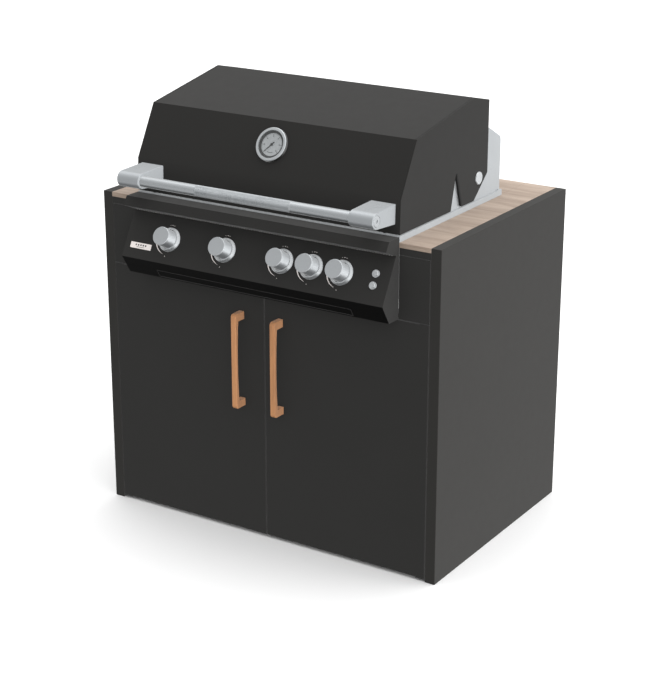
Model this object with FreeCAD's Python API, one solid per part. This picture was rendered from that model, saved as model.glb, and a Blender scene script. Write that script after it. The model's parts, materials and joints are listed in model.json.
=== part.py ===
"""Gas barbecue grill set into an outdoor-kitchen cabinet with two doors.

Sizes are in millimetres. The parts are drawn in the cabinet's own frame: x to the right,
y to the rear from the cabinet's front plane, z up from the floor. On export everything is
moved along y, so that the origin is under the middle of the whole object.
"""
import FreeCAD, Part
import math
import os

V = FreeCAD.Vector

# Cabinet
CAB_W = 1000.0
CAB_D = 660.0
CAB_H = 860.0
SIDE_T = 28.0
INNER_X = CAB_W / 2 - SIDE_T
BOARD_T = 12.0
BOARD_Z = CAB_H - BOARD_T
FRONT_T = 20.0

# Doors
DOOR_Z0 = 9.0
DOOR_Z1 = 669.0
DOOR_OUT_X = 470.0
DOOR_IN_X = 1.5
PIVOT_X = 458.0
PIVOT_Y = 6.0
PIVOT_R = 3.0
PIVOT_BORE_R = 3.05
DOOR_HANDLE_X = {"left": -68.5, "right": 48.5}
DOOR_HANDLE_W = 15.0
DOOR_HANDLE_Z0 = 357.0
DOOR_HANDLE_Z1 = 610.0
DOOR_HANDLE_REACH = 38.0

# Grill body
GRILL_X = 386.5
FLANGE_Z = 875.0
FLANGE_Y0 = 1.5
FLANGE_Y1 = 517.0
SHEET = 1.5
BOX_X = 378.0
BOX_Y0 = 40.0
BOX_Y1 = 505.0
BOX_Z0 = 706.0
DIVIDER_Y = 440.0
LEDGE_GRATE_Z = 848.0
LEDGE_TAMER_Z = 788.0
GRATE_T = 14.0

# Control panel: side profile from the top rear edge, over the nose, to the bottom rear edge
PANEL = [(0, 873), (-46, 873), (-60, 851), (-14, 831), (-74, 721), (-43, 672), (0, 671)]
PANEL_T = 2.0
FACE_TOP = PANEL[3]
FACE_LEN = math.dist(PANEL[3], PANEL[4])
FACE_DOWN = ((PANEL[4][0] - PANEL[3][0]) / FACE_LEN, (PANEL[4][1] - PANEL[3][1]) / FACE_LEN)
FACE_OUT = (FACE_DOWN[1], -FACE_DOWN[0])

# Knobs and valves, placed across the panel (x) and down its face (s)
KNOB_X = [-255.0, -85.0, 85.0, 170.0, 255.0]
KNOB_S = 62.5
KNOB_R = 23.5
KNOB_BASE = 3.6
KNOB_TOP = 41.5
BEZEL_R = 31.0
BEZEL_FRONT_R = 28.0
BEZEL_H = 10.0
STEM_R = 4.0
PLUG_R = 8.0
RUNNING = 0.05
NOZZLE_DEPTH = 30.0
BURNER_X = [-255.0, -85.0, 85.0, 255.0]
REAR_VALVE_X = 170.0
BUTTON_X = 347.0
BUTTON_S = {"upper": 49.5, "lower": 78.5}

# Hood: side profile from the front bottom edge, over the ridge, to the rear edge
HOOD = [(1.5, 878), (4.5, 961), (75, 1091), (355, 1140.5), (434, 1122.5)]
HOOD_T = 2.0
HOOD_END_T = 5.0
HOOD_INNER_X = GRILL_X - HOOD_END_T
HINGE_Y = 385.5
HINGE_Z = 932.5
HINGE_R = 8.0
LINER = [(24, 902), (27, 955), (93, 1071), (352, 1117.5), (424, 1101.4)]

# Handle of the hood
GRIP_Y = -79.5
GRIP_Z = 928.0
GRIP_R = 14.0
NOSE_R = 20.0
BRACKET_X0 = 306.0
BRACKET_X1 = 372.7

# Thermometer in the front slope of the hood
SLOPE_LEN = math.dist(HOOD[1], HOOD[2])
SLOPE_UP = ((HOOD[2][0] - HOOD[1][0]) / SLOPE_LEN, (HOOD[2][1] - HOOD[1][1]) / SLOPE_LEN)
SLOPE_OUT = (-SLOPE_UP[1], SLOPE_UP[0])
THERMO_S = 84.0
THERMO_R = 43.0
DIAL_R = 35.5
NEEDLE_ANGLE = 229.0

# The frame's origin lies midway between the handle's front and the cabinet's back
FRONT_Y = GRIP_Y - NOSE_R
CENTRE_Y = (FRONT_Y + CAB_D) / 2


def box(x0, x1, y0, y1, z0, z1):
    return Part.makeBox(x1 - x0, y1 - y0, z1 - z0, V(x0, y0, z0))


def rod(start, end, radius):
    """Round bar between two points."""
    return Part.makeCylinder(radius, (end - start).Length, start, end - start)


def prism(points, x0, x1):
    """Solid with a y-z outline, extruded along x."""
    ring = [V(x0, y, z) for y, z in points]
    face = Part.Face(Part.makePolygon(ring + ring[:1]))
    return face.extrude(V(x1 - x0, 0, 0))


def sheet(path, thickness, x0, x1):
    """Folded sheet along a y-z path. Its metal lies right of the path, seen along the path."""
    steps = []
    for (ya, za), (yb, zb) in zip(path, path[1:]):
        length = math.hypot(yb - ya, zb - za)
        steps.append(((zb - za) / length, -(yb - ya) / length))
    back = []
    for i, (y, z) in enumerate(path):
        before = steps[max(i - 1, 0)]
        after = steps[min(i, len(steps) - 1)]
        scale = thickness / (1 + before[0] * after[0] + before[1] * after[1])
        back.append((y + scale * (before[0] + after[0]), z + scale * (before[1] + after[1])))
    return prism(list(path) + back[::-1], x0, x1)


def fused(shapes):
    body = shapes[0]
    if len(shapes) > 1:
        body = shapes[0].multiFuse(shapes[1:])
    return body.removeSplitter()


def cut(body, tools):
    return body.cut(Part.makeCompound(tools))


def mirrored(shape):
    return shape.mirror(V(0, 0, 0), V(1, 0, 0))


def both_sides(shape):
    return Part.makeCompound([mirrored(shape), shape])


def on_face(x, s, off):
    """Point on the control face: s down from the face's top, off outwards from the metal."""
    y = FACE_TOP[0] + s * FACE_DOWN[0] + off * FACE_OUT[0]
    z = FACE_TOP[1] + s * FACE_DOWN[1] + off * FACE_OUT[1]
    return V(x, y, z)


def face_rod(x, s, off0, off1, radius):
    return rod(on_face(x, s, off0), on_face(x, s, off1), radius)


def face_block(x0, x1, s0, s1, off0, off1):
    corners = [on_face(0, s, off) for s, off in ((s0, off0), (s1, off0), (s1, off1), (s0, off1))]
    return prism([(p.y, p.z) for p in corners], x0, x1)


def on_slope(x, s, off):
    """Point on the hood's front slope: s up from its lower crease, off outwards."""
    y = HOOD[1][0] + s * SLOPE_UP[0] + off * SLOPE_OUT[0]
    z = HOOD[1][1] + s * SLOPE_UP[1] + off * SLOPE_OUT[1]
    return V(x, y, z)


def slope_rod(off0, off1, radius):
    return rod(on_slope(0, THERMO_S, off0), on_slope(0, THERMO_S, off1), radius)


def edges_where(shape, test):
    return [edge for edge in shape.Edges if test(edge)]


# ---------------------------------------------------------------- cabinet

def side_panel(side):
    panel = box(INNER_X, CAB_W / 2, 0, CAB_D, 0, CAB_H)
    panel = panel.makeChamfer(0.8, panel.Edges)
    if side == "left":
        panel = mirrored(panel)
    return panel


def support_frame():
    """Cross beams that carry the grill, and the cleats under the worktop boards."""
    beam_z0 = 640
    beam_z1 = 670
    front = box(-INNER_X, INNER_X, 40, 75, beam_z0, beam_z1)
    rear = box(-INNER_X, INNER_X, 440, 475, beam_z0, beam_z1)
    cleat = box(452, INNER_X, FRONT_T, 628, 828, BOARD_Z)
    back_cleat = box(-INNER_X, INNER_X, 628, 648, 828, BOARD_Z)
    return Part.makeCompound([front, rear, cleat, mirrored(cleat), back_cleat])


def fascia_panels():
    """False fronts beside the control panel, each under a narrow rail."""
    front = box(387, DOOR_OUT_X + 0.5, 0, FRONT_T, 672, 830)
    rail = box(387, INNER_X, 0, FRONT_T, 831, BOARD_Z)
    return Part.makeCompound([front, rail, mirrored(front), mirrored(rail)])


def worktop_side():
    board = box(383, INNER_X, 0, CAB_D, BOARD_Z, CAB_H)
    return board.makeChamfer(0.6, board.Edges)


def worktop_back():
    board = box(-382.4, 382.4, 512, CAB_D, BOARD_Z, CAB_H)
    return board.makeChamfer(0.6, board.Edges)


def door_pivot_brackets():
    """Four flat brackets on the side panels; each carries a pin that enters the door."""
    leaf_x0 = INNER_X - 2
    reach = 38
    pin_len = 12
    low_z = DOOR_Z0 - 0.5
    low = box(446, INNER_X, 0, reach, low_z - 2, low_z)
    low_leaf = box(leaf_x0, INNER_X, 27, reach, 0.5, low_z - 2)
    low_pin = rod(V(PIVOT_X, PIVOT_Y, low_z - 1), V(PIVOT_X, PIVOT_Y, DOOR_Z0 + pin_len), PIVOT_R)
    top_z = DOOR_Z1 + 0.5
    top = box(446, INNER_X, 0, reach, top_z, top_z + 2)
    top_leaf = box(leaf_x0, INNER_X, 27, reach, top_z + 2, top_z + 30)
    top_pin = rod(V(PIVOT_X, PIVOT_Y, DOOR_Z1 - pin_len), V(PIVOT_X, PIVOT_Y, top_z + 1), PIVOT_R)
    lower = fused([low, low_leaf, low_pin])
    upper = fused([top, top_leaf, top_pin])
    return Part.makeCompound([lower, upper, mirrored(lower), mirrored(upper)])


def door(side):
    leaf = box(DOOR_IN_X, DOOR_OUT_X, 0, FRONT_T, DOOR_Z0, DOOR_Z1)
    leaf = leaf.makeChamfer(0.8, leaf.Edges)
    bore_len = 14
    low = rod(V(PIVOT_X, PIVOT_Y, DOOR_Z0 - 1), V(PIVOT_X, PIVOT_Y, DOOR_Z0 + bore_len), PIVOT_BORE_R)
    top = rod(V(PIVOT_X, PIVOT_Y, DOOR_Z1 - bore_len), V(PIVOT_X, PIVOT_Y, DOOR_Z1 + 1), PIVOT_BORE_R)
    leaf = cut(leaf, [low, top])
    if side == "left":
        leaf = mirrored(leaf)
    return leaf


def door_handle(side):
    """Bow handle: two feet on the door, and a bar with a slightly arched inner edge."""
    x0 = DOOR_HANDLE_X[side] - DOOR_HANDLE_W / 2
    x1 = DOOR_HANDLE_X[side] + DOOR_HANDLE_W / 2
    foot = 20
    bar = 13
    arch = 4
    z0 = DOOR_HANDLE_Z0
    z1 = DOOR_HANDLE_Z1
    middle = (z0 + z1) / 2
    outline = box(x0, x1, -DOOR_HANDLE_REACH, 0, z0, z1)
    back_edges = edges_where(outline, lambda e: e.BoundBox.XLength > 1 and e.BoundBox.YMin < -1)
    outline = outline.makeFillet(9, back_edges)
    inner_y = -DOOR_HANDLE_REACH + bar
    low = V(x0 - 1, inner_y, z0 + foot)
    high = V(x0 - 1, inner_y, z1 - foot)
    bow = Part.Arc(low, V(x0 - 1, inner_y - arch, middle), high).toShape()
    door_low = V(x0 - 1, 1, z0 + foot)
    door_high = V(x0 - 1, 1, z1 - foot)
    rest = Part.makePolygon([high, door_high, door_low, low])
    gap = Part.Face(Part.Wire([bow] + rest.Edges)).extrude(V(DOOR_HANDLE_W + 2, 0, 0))
    handle = outline.cut(gap)
    long_edges = edges_where(handle, lambda e: e.BoundBox.XLength < 0.1 and e.BoundBox.ZLength > 60)
    return handle.makeFillet(2, long_edges)


# ---------------------------------------------------------------- grill body

def trim_flange():
    """Stainless frame round the grill's opening; its skirt stands on the worktop boards."""
    skirt = box(-GRILL_X, GRILL_X, FLANGE_Y0, FLANGE_Y1, CAB_H, FLANGE_Z)
    under = box(-GRILL_X + SHEET, GRILL_X - SHEET, FLANGE_Y0 + SHEET, FLANGE_Y1 - SHEET,
                CAB_H - 1, FLANGE_Z - SHEET)
    opening = box(-BOX_X + SHEET, BOX_X - SHEET, BOX_Y0 + SHEET, BOX_Y1 - SHEET,
                  CAB_H, FLANGE_Z + 1)
    return cut(skirt, [under, opening])


def firebox():
    """Open-topped stainless box with a divider, ledges for the inserts, and four feet."""
    top = FLANGE_Z - SHEET
    shell = box(-BOX_X, BOX_X, BOX_Y0, BOX_Y1, BOX_Z0, top)
    hollow = box(-BOX_X + SHEET, BOX_X - SHEET, BOX_Y0 + SHEET, BOX_Y1 - SHEET,
                 BOX_Z0 + SHEET, top + 1)
    drain = box(-275, 275, 75, 425, BOX_Z0 - 1, BOX_Z0 + SHEET + 1)
    shell = cut(shell, [hollow, drain])
    in_x = BOX_X - SHEET
    divider = box(-in_x, in_x, DIVIDER_Y, DIVIDER_Y + SHEET, BOX_Z0 + SHEET, top)
    ledges = []
    for z in (LEDGE_GRATE_Z, LEDGE_TAMER_Z):
        ledges.append(box(-in_x, in_x, BOX_Y0 + SHEET, 53, z - SHEET, z))
        ledges.append(box(-in_x, in_x, 428, DIVIDER_Y, z - SHEET, z))
    rest_z = burner_z() - BURNER_R
    ledges.append(box(-in_x, in_x, 415, DIVIDER_Y, rest_z - SHEET, rest_z))
    feet = []
    for x in (-345, 320):
        for y in (48, 445):
            feet.append(box(x, x + 25, y, y + 25, 670, BOX_Z0))
    body = fused([shell, divider] + ledges + feet)
    holes = []
    for x in BURNER_X:
        holes.append(rod(V(x, BOX_Y0 - 1, burner_z()), V(x, BOX_Y0 + 3, burner_z()), NECK_R + 0.5))
    tube_y = REAR_TUBE_Y
    holes.append(rod(V(REAR_VALVE_X, tube_y, BOX_Z0 - 1), V(REAR_VALVE_X, tube_y, BOX_Z0 + 3), 4.6))
    return cut(body, holes)


def hinge_plate():
    """Upright side plate inside the hood; it carries the hinge and closes the gap behind it."""
    outline = [(60, 875), (60, 898), (170, 925), (222, 1000), (285, 1047), (450, 1047),
               (510.8, 1014.3), (513.5, 1005.5), (513.5, 875)]
    x0 = 378.5
    x1 = 380.5
    plate = prism(outline, x0, x1)
    pegs = [rod(V(366, y, 978), V(x0 + 1, y, 978), 4) for y in (262, 413)]
    rivet = rod(V(x1 - 1, 468, 938), V(x1 + 0.5, 468, 938), 3.5)
    foot = box(x1 - 1, GRILL_X - 0.5, 492, 511, FLANGE_Z, FLANGE_Z + 1.2)
    screw = rod(V(383.4, 501.5, FLANGE_Z + 1), V(383.4, 501.5, FLANGE_Z + 3), 2.4)
    body = fused([plate, rivet, foot, screw] + pegs)
    return cut(body, [rod(V(x0 - 1, HINGE_Y, HINGE_Z), V(x1 + 1, HINGE_Y, HINGE_Z), HINGE_R + 0.03)])


def hood_pivot():
    """Hinge pin: head outside the hood, shank through its end and the hinge plate, nut inside."""
    x_head = GRILL_X + 0.4
    shank = rod(V(372, HINGE_Y, HINGE_Z), V(x_head + 1, HINGE_Y, HINGE_Z), HINGE_R)
    head = rod(V(x_head, HINGE_Y, HINGE_Z), V(x_head + 3.4, HINGE_Y, HINGE_Z), 16)
    head = head.makeChamfer(0.8, edges_where(head, lambda e: e.BoundBox.XMin > x_head + 1))
    nut = rod(V(372, HINGE_Y, HINGE_Z), V(378.5, HINGE_Y, HINGE_Z), 12)
    return fused([shank, head, nut])


def rear_housing():
    """Folded stainless cover behind the cooking space, with a window for the rear burner."""
    path = [(441, 875), (441, 1036), (450, 1047), (510.8, 1014.3), (512.5, 1005.5), (512.5, 875)]
    cover = sheet(path, SHEET, -378.5, 378.5)
    window = box(-285, 285, 440, 444, 910, 980)
    slots = []
    for i in range(12):
        x = -330 + i * 60
        slots.append(box(x - 20, x + 20, 508, 516, 985, 990))
        slots.append(box(x - 20, x + 20, 508, 516, 970, 975))
    return cut(cover, [window] + slots)


def rear_burner():
    """Infrared burner: a shallow plenum whose ceramic plaque faces the food."""
    plenum = box(-292, 292, 443, 478, 904, 986)
    grooves = []
    for i in range(1, 28):
        x = -290 + i * 580 / 28
        grooves.append(box(x - 1, x + 1, 442, 445, 912, 978))
    for i in range(1, 4):
        z = 912 + i * 66 / 4
        grooves.append(box(-282, 282, 442, 445, z - 1, z + 1))
    return cut(plenum, grooves)


# ---------------------------------------------------------------- control panel

def control_panel():
    """Folded panel with a nose over the slanted face, closed by a cheek at each end."""
    inside = GRILL_X - PANEL_T
    skin = sheet(PANEL[::-1], PANEL_T, -inside, inside)
    cheek = prism(PANEL, inside, GRILL_X)
    body = fused([skin, cheek, mirrored(cheek)])
    holes = [face_rod(x, KNOB_S, -4, 4, 10) for x in KNOB_X]
    holes += [face_rod(BUTTON_X, s, -4, 4, 7.5) for s in BUTTON_S.values()]
    holes.append(box(-289.5, 289.5, -80, -20, 675, 695))
    return cut(body, holes)


def badge_plate():
    plate = face_block(-368.7, -303.9, 84, 99.3, 0, 1.2)
    front = edges_where(plate, lambda e: e.BoundBox.XLength < 0.1)
    return plate.makeChamfer(0.3, front)


def panel_bezels():
    """Tapered rings that the knobs sink into, each with an index notch on top, and button rings."""
    axis = V(0, FACE_OUT[0], FACE_OUT[1])
    rings = []
    for x in KNOB_X:
        rim = face_rod(x, KNOB_S, 0, 3, BEZEL_R)
        taper = Part.makeCone(BEZEL_R, BEZEL_FRONT_R, BEZEL_H - 3, on_face(x, KNOB_S, 3), axis)
        hole = face_rod(x, KNOB_S, -1, BEZEL_H + 1, KNOB_R + 1.6)
        notch = face_block(x - 2.2, x + 2.2, KNOB_S - 27.2, KNOB_S - KNOB_R, BEZEL_H - 2.5, BEZEL_H + 1)
        rings.append(cut(fused([rim, taper]), [hole, notch]))
    for s in BUTTON_S.values():
        ring = face_rod(BUTTON_X, s, 0, 3.2, 9.4)
        rings.append(ring.cut(face_rod(BUTTON_X, s, -1, 5, 7.2)))
    return Part.makeCompound(rings)


def knob(x):
    body = face_rod(x, KNOB_S, KNOB_BASE, KNOB_TOP, KNOB_R)
    front = edges_where(body, lambda e: e.Closed and e.CenterOfMass.y < on_face(x, KNOB_S, 30).y)
    body = body.makeChamfer(1.0, front)
    hollow = face_rod(x, KNOB_S, KNOB_BASE - 1, 32, 20).cut(face_rod(x, KNOB_S, 0, 33, 8))
    bore = face_rod(x, KNOB_S, KNOB_BASE - 1, 35, STEM_R + RUNNING)
    return cut(body, [hollow, bore])


def valve_plug(x):
    """Tapered-cock plug with the stem that the knob sits on."""
    plug = face_rod(x, KNOB_S, -36, -12, PLUG_R)
    stem = face_rod(x, KNOB_S, -14, 30, STEM_R)
    return fused([plug, stem])


def valve_body(x):
    body = face_rod(x, KNOB_S, -44, -6, 13)
    centre = on_face(x, KNOB_S, -NOZZLE_DEPTH)
    outlet = rod(centre, V(x, 16, centre.z), 6)
    spud = rod(V(x, 14, centre.z), V(x, 22, centre.z), 3.5)
    inlet = rod(centre, manifold_point(x), 6)
    body = fused([body, outlet, spud, inlet])
    bore = face_rod(x, KNOB_S, -36.5, -11.5, PLUG_R + RUNNING)
    neck = face_rod(x, KNOB_S, -13, -5, STEM_R + RUNNING)
    pipe = rod(manifold_point(x - 30), manifold_point(x + 30), MANIFOLD_R)
    return cut(body, [bore, neck, pipe])


MANIFOLD_R = 9.0


def manifold_point(x):
    return on_face(x, KNOB_S + 24, -NOZZLE_DEPTH)


def burner_z():
    return on_face(0, KNOB_S, -NOZZLE_DEPTH).z


def bent_pipe(points, radius):
    """Pipe through the given points, with a ball elbow at each corner."""
    pieces = [rod(a, b, radius) for a, b in zip(points, points[1:])]
    pieces += [Part.makeSphere(radius + 0.8, p) for p in points[1:-1]]
    return fused(pieces)


INLET_X = -425.0
INLET_Y = 100.0
INLET_Z = 700.0


def manifold():
    """Gas rail behind the panel, with the feed pipe that runs round to the inlet."""
    start = manifold_point(-350)
    rail = rod(manifold_point(-364), manifold_point(300), MANIFOLD_R)
    path = [start, V(-350, 28, start.z), V(INLET_X, 28, start.z), V(INLET_X, INLET_Y, start.z),
            V(INLET_X, INLET_Y, INLET_Z + 12)]
    return fused([rail, bent_pipe(path, 6)])


def gas_inlet():
    """Hexagon and threaded nipple that a supply hose screws onto."""
    across_flats = 24
    corner = across_flats / math.sqrt(3)
    ring = []
    for i in range(6):
        angle = math.radians(60 * i)
        ring.append(V(INLET_X + corner * math.cos(angle), INLET_Y + corner * math.sin(angle), INLET_Z))
    nut = Part.Face(Part.makePolygon(ring + ring[:1])).extrude(V(0, 0, 12))
    nipple = rod(V(INLET_X, INLET_Y, INLET_Z + 1), V(INLET_X, INLET_Y, INLET_Z - 20), 10.48)
    nipple = nipple.makeChamfer(1, edges_where(nipple, lambda e: e.BoundBox.ZMax < INLET_Z - 19))
    passage = rod(V(INLET_X, INLET_Y, INLET_Z - 21), V(INLET_X, INLET_Y, INLET_Z + 6), 6)
    return fused([nut, nipple]).cut(passage)


REAR_TUBE_Y = 462.0


def rear_gas_tube():
    """Thin supply tube from the fourth valve, under the firebox, up to the rear burner."""
    z = burner_z()
    low = 700
    x = REAR_VALVE_X
    path = [V(x, 22, z), V(x, 31, z), V(x, 31, low), V(x, REAR_TUBE_Y, low), V(x, REAR_TUBE_Y, 904)]
    return bent_pipe(path, 4)


BURNER_R = 16.0
NECK_R = 10.0


def burner(x):
    """Tube burner: venturi neck through the front wall, ports along both sides."""
    z = burner_z()
    tube = rod(V(x, 52, z), V(x, 432, z), BURNER_R)
    neck = rod(V(x, 26, z), V(x, 53, z), NECK_R)
    body = fused([tube, neck])
    bore = fused([rod(V(x, 56, z), V(x, 428, z), BURNER_R - 2), rod(V(x, 25, z), V(x, 57, z), NECK_R - 2)])
    ports = []
    for i in range(14):
        y = 80 + i * 25
        ports.append(rod(V(x - BURNER_R - 2, y, z + 7), V(x + BURNER_R + 2, y, z + 7), 1.6))
    return cut(body, [bore] + ports)


def flame_tamer(x):
    """Folded roof over one burner."""
    eave_z = LEDGE_TAMER_Z
    ridge_z = 822
    half = 60
    roof = [V(x - half, 44, eave_z), V(x, 44, ridge_z), V(x + half, 44, eave_z),
            V(x + half - 3, 44, eave_z), V(x, 44, ridge_z - 2), V(x - half + 3, 44, eave_z)]
    return Part.Face(Part.makePolygon(roof + roof[:1])).extrude(V(0, 393, 0))


def grate(x0, x1):
    """Cast cooking grate: bars from front to rear, tied by three cross bars."""
    z0 = LEDGE_GRATE_Z
    z1 = z0 + GRATE_T
    bars = [box(x0, x0 + 8, 43, 438, z0, z1), box(x1 - 8, x1, 43, 438, z0, z1)]
    count = 11
    pitch = (x1 - x0 - 8) / (count + 1)
    for i in range(1, count + 1):
        x = x0 + 4 + i * pitch
        bars.append(box(x - 3.5, x + 3.5, 43, 438, z0 + 2, z1))
    for y in (43, 235, 430):
        bars.append(box(x0, x1, y, y + 8, z0, z1 - 4))
    return fused(bars)


def griddle(x0, x1):
    """Solid cast plate with a raised rim and a drain slot at the front."""
    z0 = LEDGE_GRATE_Z
    z1 = z0 + GRATE_T
    plate = box(x0, x1, 43, 438, z0, z1)
    dish = box(x0 + 8, x1 - 8, 51, 430, z0 + 8, z1 + 1)
    drain = box(x0 + 40, x1 - 40, 56, 62, z0 - 1, z1)
    return cut(plate, [dish, drain])


def warming_rack():
    z = 985
    rails = [rod(V(-376, y, z), V(376, y, z), 3) for y in (262, 413)]
    wires = []
    for i in range(25):
        x = -360 + i * 30
        wires.append(rod(V(x, 258, z + 3), V(x, 417, z + 3), 1.8))
    return fused(rails + wires)


TRAY_Z0 = 676.5
TRAY_Z1 = 693.0


def drip_tray():
    """Shallow tray that slides out through the panel's underside, with a slanted front lip."""
    y0 = -46
    y1 = 445
    wall = 1.4
    pan = box(-284, 284, y0, y1, TRAY_Z0, TRAY_Z1)
    inside = box(-284 + wall, 284 - wall, y0 + wall, y1 - wall, TRAY_Z0 + wall, TRAY_Z1 + 1)
    pan = pan.cut(inside)
    slope = (PANEL[4][0] - PANEL[5][0]) / (PANEL[4][1] - PANEL[5][1])
    low = (PANEL[5][0] + slope * (676.5 - PANEL[5][1]), 676.5)
    high = (PANEL[5][0] + slope * (693.8 - PANEL[5][1]), 693.8)
    floor_front = box(-284, 284, low[0] + 0.5, y0 + 1, TRAY_Z0, TRAY_Z0 + wall)
    lip = prism([low, high, (high[0] + 2, high[1]), (low[0] + 2, low[1])], -288, 288)
    return fused([pan, floor_front, lip])


def tray_rails():
    """Angle runners under the firebox."""
    upright = box(289.2, 291, 45, 470, 674.2, BOX_Z0)
    shelf = box(276, 291, 45, 470, 674.2, 676)
    rail = fused([upright, shelf])
    return both_sides(rail)


def igniter_box():
    """Battery igniter behind the two push buttons."""
    block = face_block(328, 366, 38, 90, -30, -6)
    holes = [face_rod(BUTTON_X, s, -16, -5, 5.4) for s in BUTTON_S.values()]
    mount = face_block(331, 335, 45, 83, -6, -PANEL_T)
    return cut(fused([block, mount]), holes)


def push_button(which):
    s = BUTTON_S[which]
    cap = face_rod(BUTTON_X, s, 0.6, 5.2, 6.7)
    front = edges_where(cap, lambda e: e.Closed and e.CenterOfMass.y < on_face(BUTTON_X, s, 4).y)
    cap = cap.makeFillet(1.4, front)
    stem = face_rod(BUTTON_X, s, -11.5, 1, 5)
    return fused([cap, stem])


def electrodes():
    """Ceramic spark electrodes, one beside each burner and one at the rear burner."""
    pins = []
    z = burner_z()
    for x in BURNER_X:
        post = rod(V(x + 24, 70, z - 20), V(x + 24, 70, z + 10), 3)
        tip = rod(V(x + 24, 70, z + 9), V(x + 19.5, 70, z + 12), 0.8)
        clip = box(x + 22, x + 26, BOX_Y0 + SHEET, 70, z - 18, z - 16)
        pins.append(fused([post, tip, clip]))
    pins.append(rod(V(-300, 437, 945), V(-300, 441, 945), 3))
    return Part.makeCompound(pins)


# ---------------------------------------------------------------- hood

def hood_shell():
    """Folded sheet over the front, top and rear edge, with a returned lip at each end."""
    path = [(22, HOOD[0][1])] + HOOD + [(431, 1104)]
    skin = sheet(path, HOOD_T, -HOOD_INNER_X, HOOD_INNER_X)
    return skin.cut(slope_rod(-4, 2, 6))


def hood_end():
    """End casting with the spit notch and the cut-away rear corner that clears the worktop."""
    notch = [(305, 878), (276, 968), (270, 968), (247, 878)]
    outline = HOOD + [(434, 937.5), (365, 878)] + notch
    end = prism(outline, HOOD_INNER_X, GRILL_X)
    bore = rod(V(370, HINGE_Y, HINGE_Z), V(390, HINGE_Y, HINGE_Z), HINGE_R + RUNNING)
    return end.cut(bore)


def hood_liner():
    skin = sheet(LINER, 1.0, -HOOD_INNER_X, HOOD_INNER_X)
    return skin.cut(slope_rod(-40, -10, 7))


def handle_tube():
    """Tube through both brackets, turned down in the middle for the grip."""
    end_x = BRACKET_X1
    tube = rod(V(-end_x, GRIP_Y, GRIP_Z), V(end_x, GRIP_Y, GRIP_Z), GRIP_R)
    rims = edges_where(tube, lambda e: e.Closed)
    tube = tube.makeChamfer(1.2, rims)
    recess = rod(V(end_x - 3, GRIP_Y, GRIP_Z), V(end_x + 1, GRIP_Y, GRIP_Z), 4)
    groove = rod(V(-140, GRIP_Y, GRIP_Z), V(140, GRIP_Y, GRIP_Z), GRIP_R + 1)
    core = rod(V(-141, GRIP_Y, GRIP_Z), V(141, GRIP_Y, GRIP_Z), GRIP_R - 1.5)
    return cut(tube, [recess, mirrored(recess), groove.cut(core)])


def handle_grip():
    """Knurled sleeve on the middle of the tube."""
    sleeve = rod(V(-139.8, GRIP_Y, GRIP_Z), V(139.8, GRIP_Y, GRIP_Z), GRIP_R + 0.2)
    return sleeve.cut(rod(V(-141, GRIP_Y, GRIP_Z), V(141, GRIP_Y, GRIP_Z), GRIP_R - 1.45))


def handle_bracket():
    """Solid end block: flat on the hood, rounded over the tube."""
    top_z = 950.5
    bottom_z = 901.5
    slope = (HOOD[1][0] - HOOD[0][0]) / (HOOD[1][1] - HOOD[0][1])
    back_top = (HOOD[0][0] + slope * (top_z - HOOD[0][1]), top_z)
    back_bottom = (HOOD[0][0] + slope * (bottom_z - HOOD[0][1]), bottom_z)
    arm = prism([back_top, back_bottom, (GRIP_Y, GRIP_Z - NOSE_R), (GRIP_Y, GRIP_Z + NOSE_R)],
                BRACKET_X0, BRACKET_X1)
    nose = rod(V(BRACKET_X0, GRIP_Y, GRIP_Z), V(BRACKET_X1, GRIP_Y, GRIP_Z), NOSE_R)
    block = fused([arm, nose])
    rims = edges_where(block, lambda e: e.BoundBox.XLength < 0.1 and e.BoundBox.YMin < -5)
    block = block.makeChamfer(1.2, rims)
    return block.cut(rod(V(300, GRIP_Y, GRIP_Z), V(380, GRIP_Y, GRIP_Z), GRIP_R + RUNNING))


def thermometer_case():
    """Bezel, cup and probe in one piece."""
    cup = slope_rod(0, 9, THERMO_R)
    front = edges_where(cup, lambda e: e.Closed and e.CenterOfMass.y < on_slope(0, THERMO_S, 5).y)
    cup = cup.makeChamfer(2, front)
    probe = slope_rod(-70, 1, 4)
    return fused([cup, probe]).cut(slope_rod(3, 10, DIAL_R))


def thermometer_dial():
    disc = slope_rod(3, 3.8, DIAL_R - 0.1)
    pin = slope_rod(3.5, 6, 1)
    return fused([disc, pin])


def thermometer_lens():
    return slope_rod(6.6, 8.2, DIAL_R - 0.1)


def thermometer_needle():
    hub = slope_rod(4.5, 5.5, 3.5)
    tip = 25
    tail = 9
    angle = math.radians(NEEDLE_ANGLE)
    along = (math.cos(angle), math.sin(angle))
    across = (-along[1], along[0])
    ring = []
    for reach, half in ((tip, 0.5), (0, 1.6), (-tail, 1.6), (-tail, -1.6), (0, -1.6), (tip, -0.5)):
        x = reach * along[0] + half * across[0]
        s = THERMO_S + reach * along[1] + half * across[1]
        ring.append(on_slope(x, s, 4.6))
    lift = on_slope(0, 0, 0.7) - on_slope(0, 0, 0)
    pointer = Part.Face(Part.makePolygon(ring + ring[:1])).extrude(lift)
    return fused([hub, pointer]).cut(slope_rod(4, 6.4, 1 + RUNNING))


# ---------------------------------------------------------------- nodes

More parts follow.
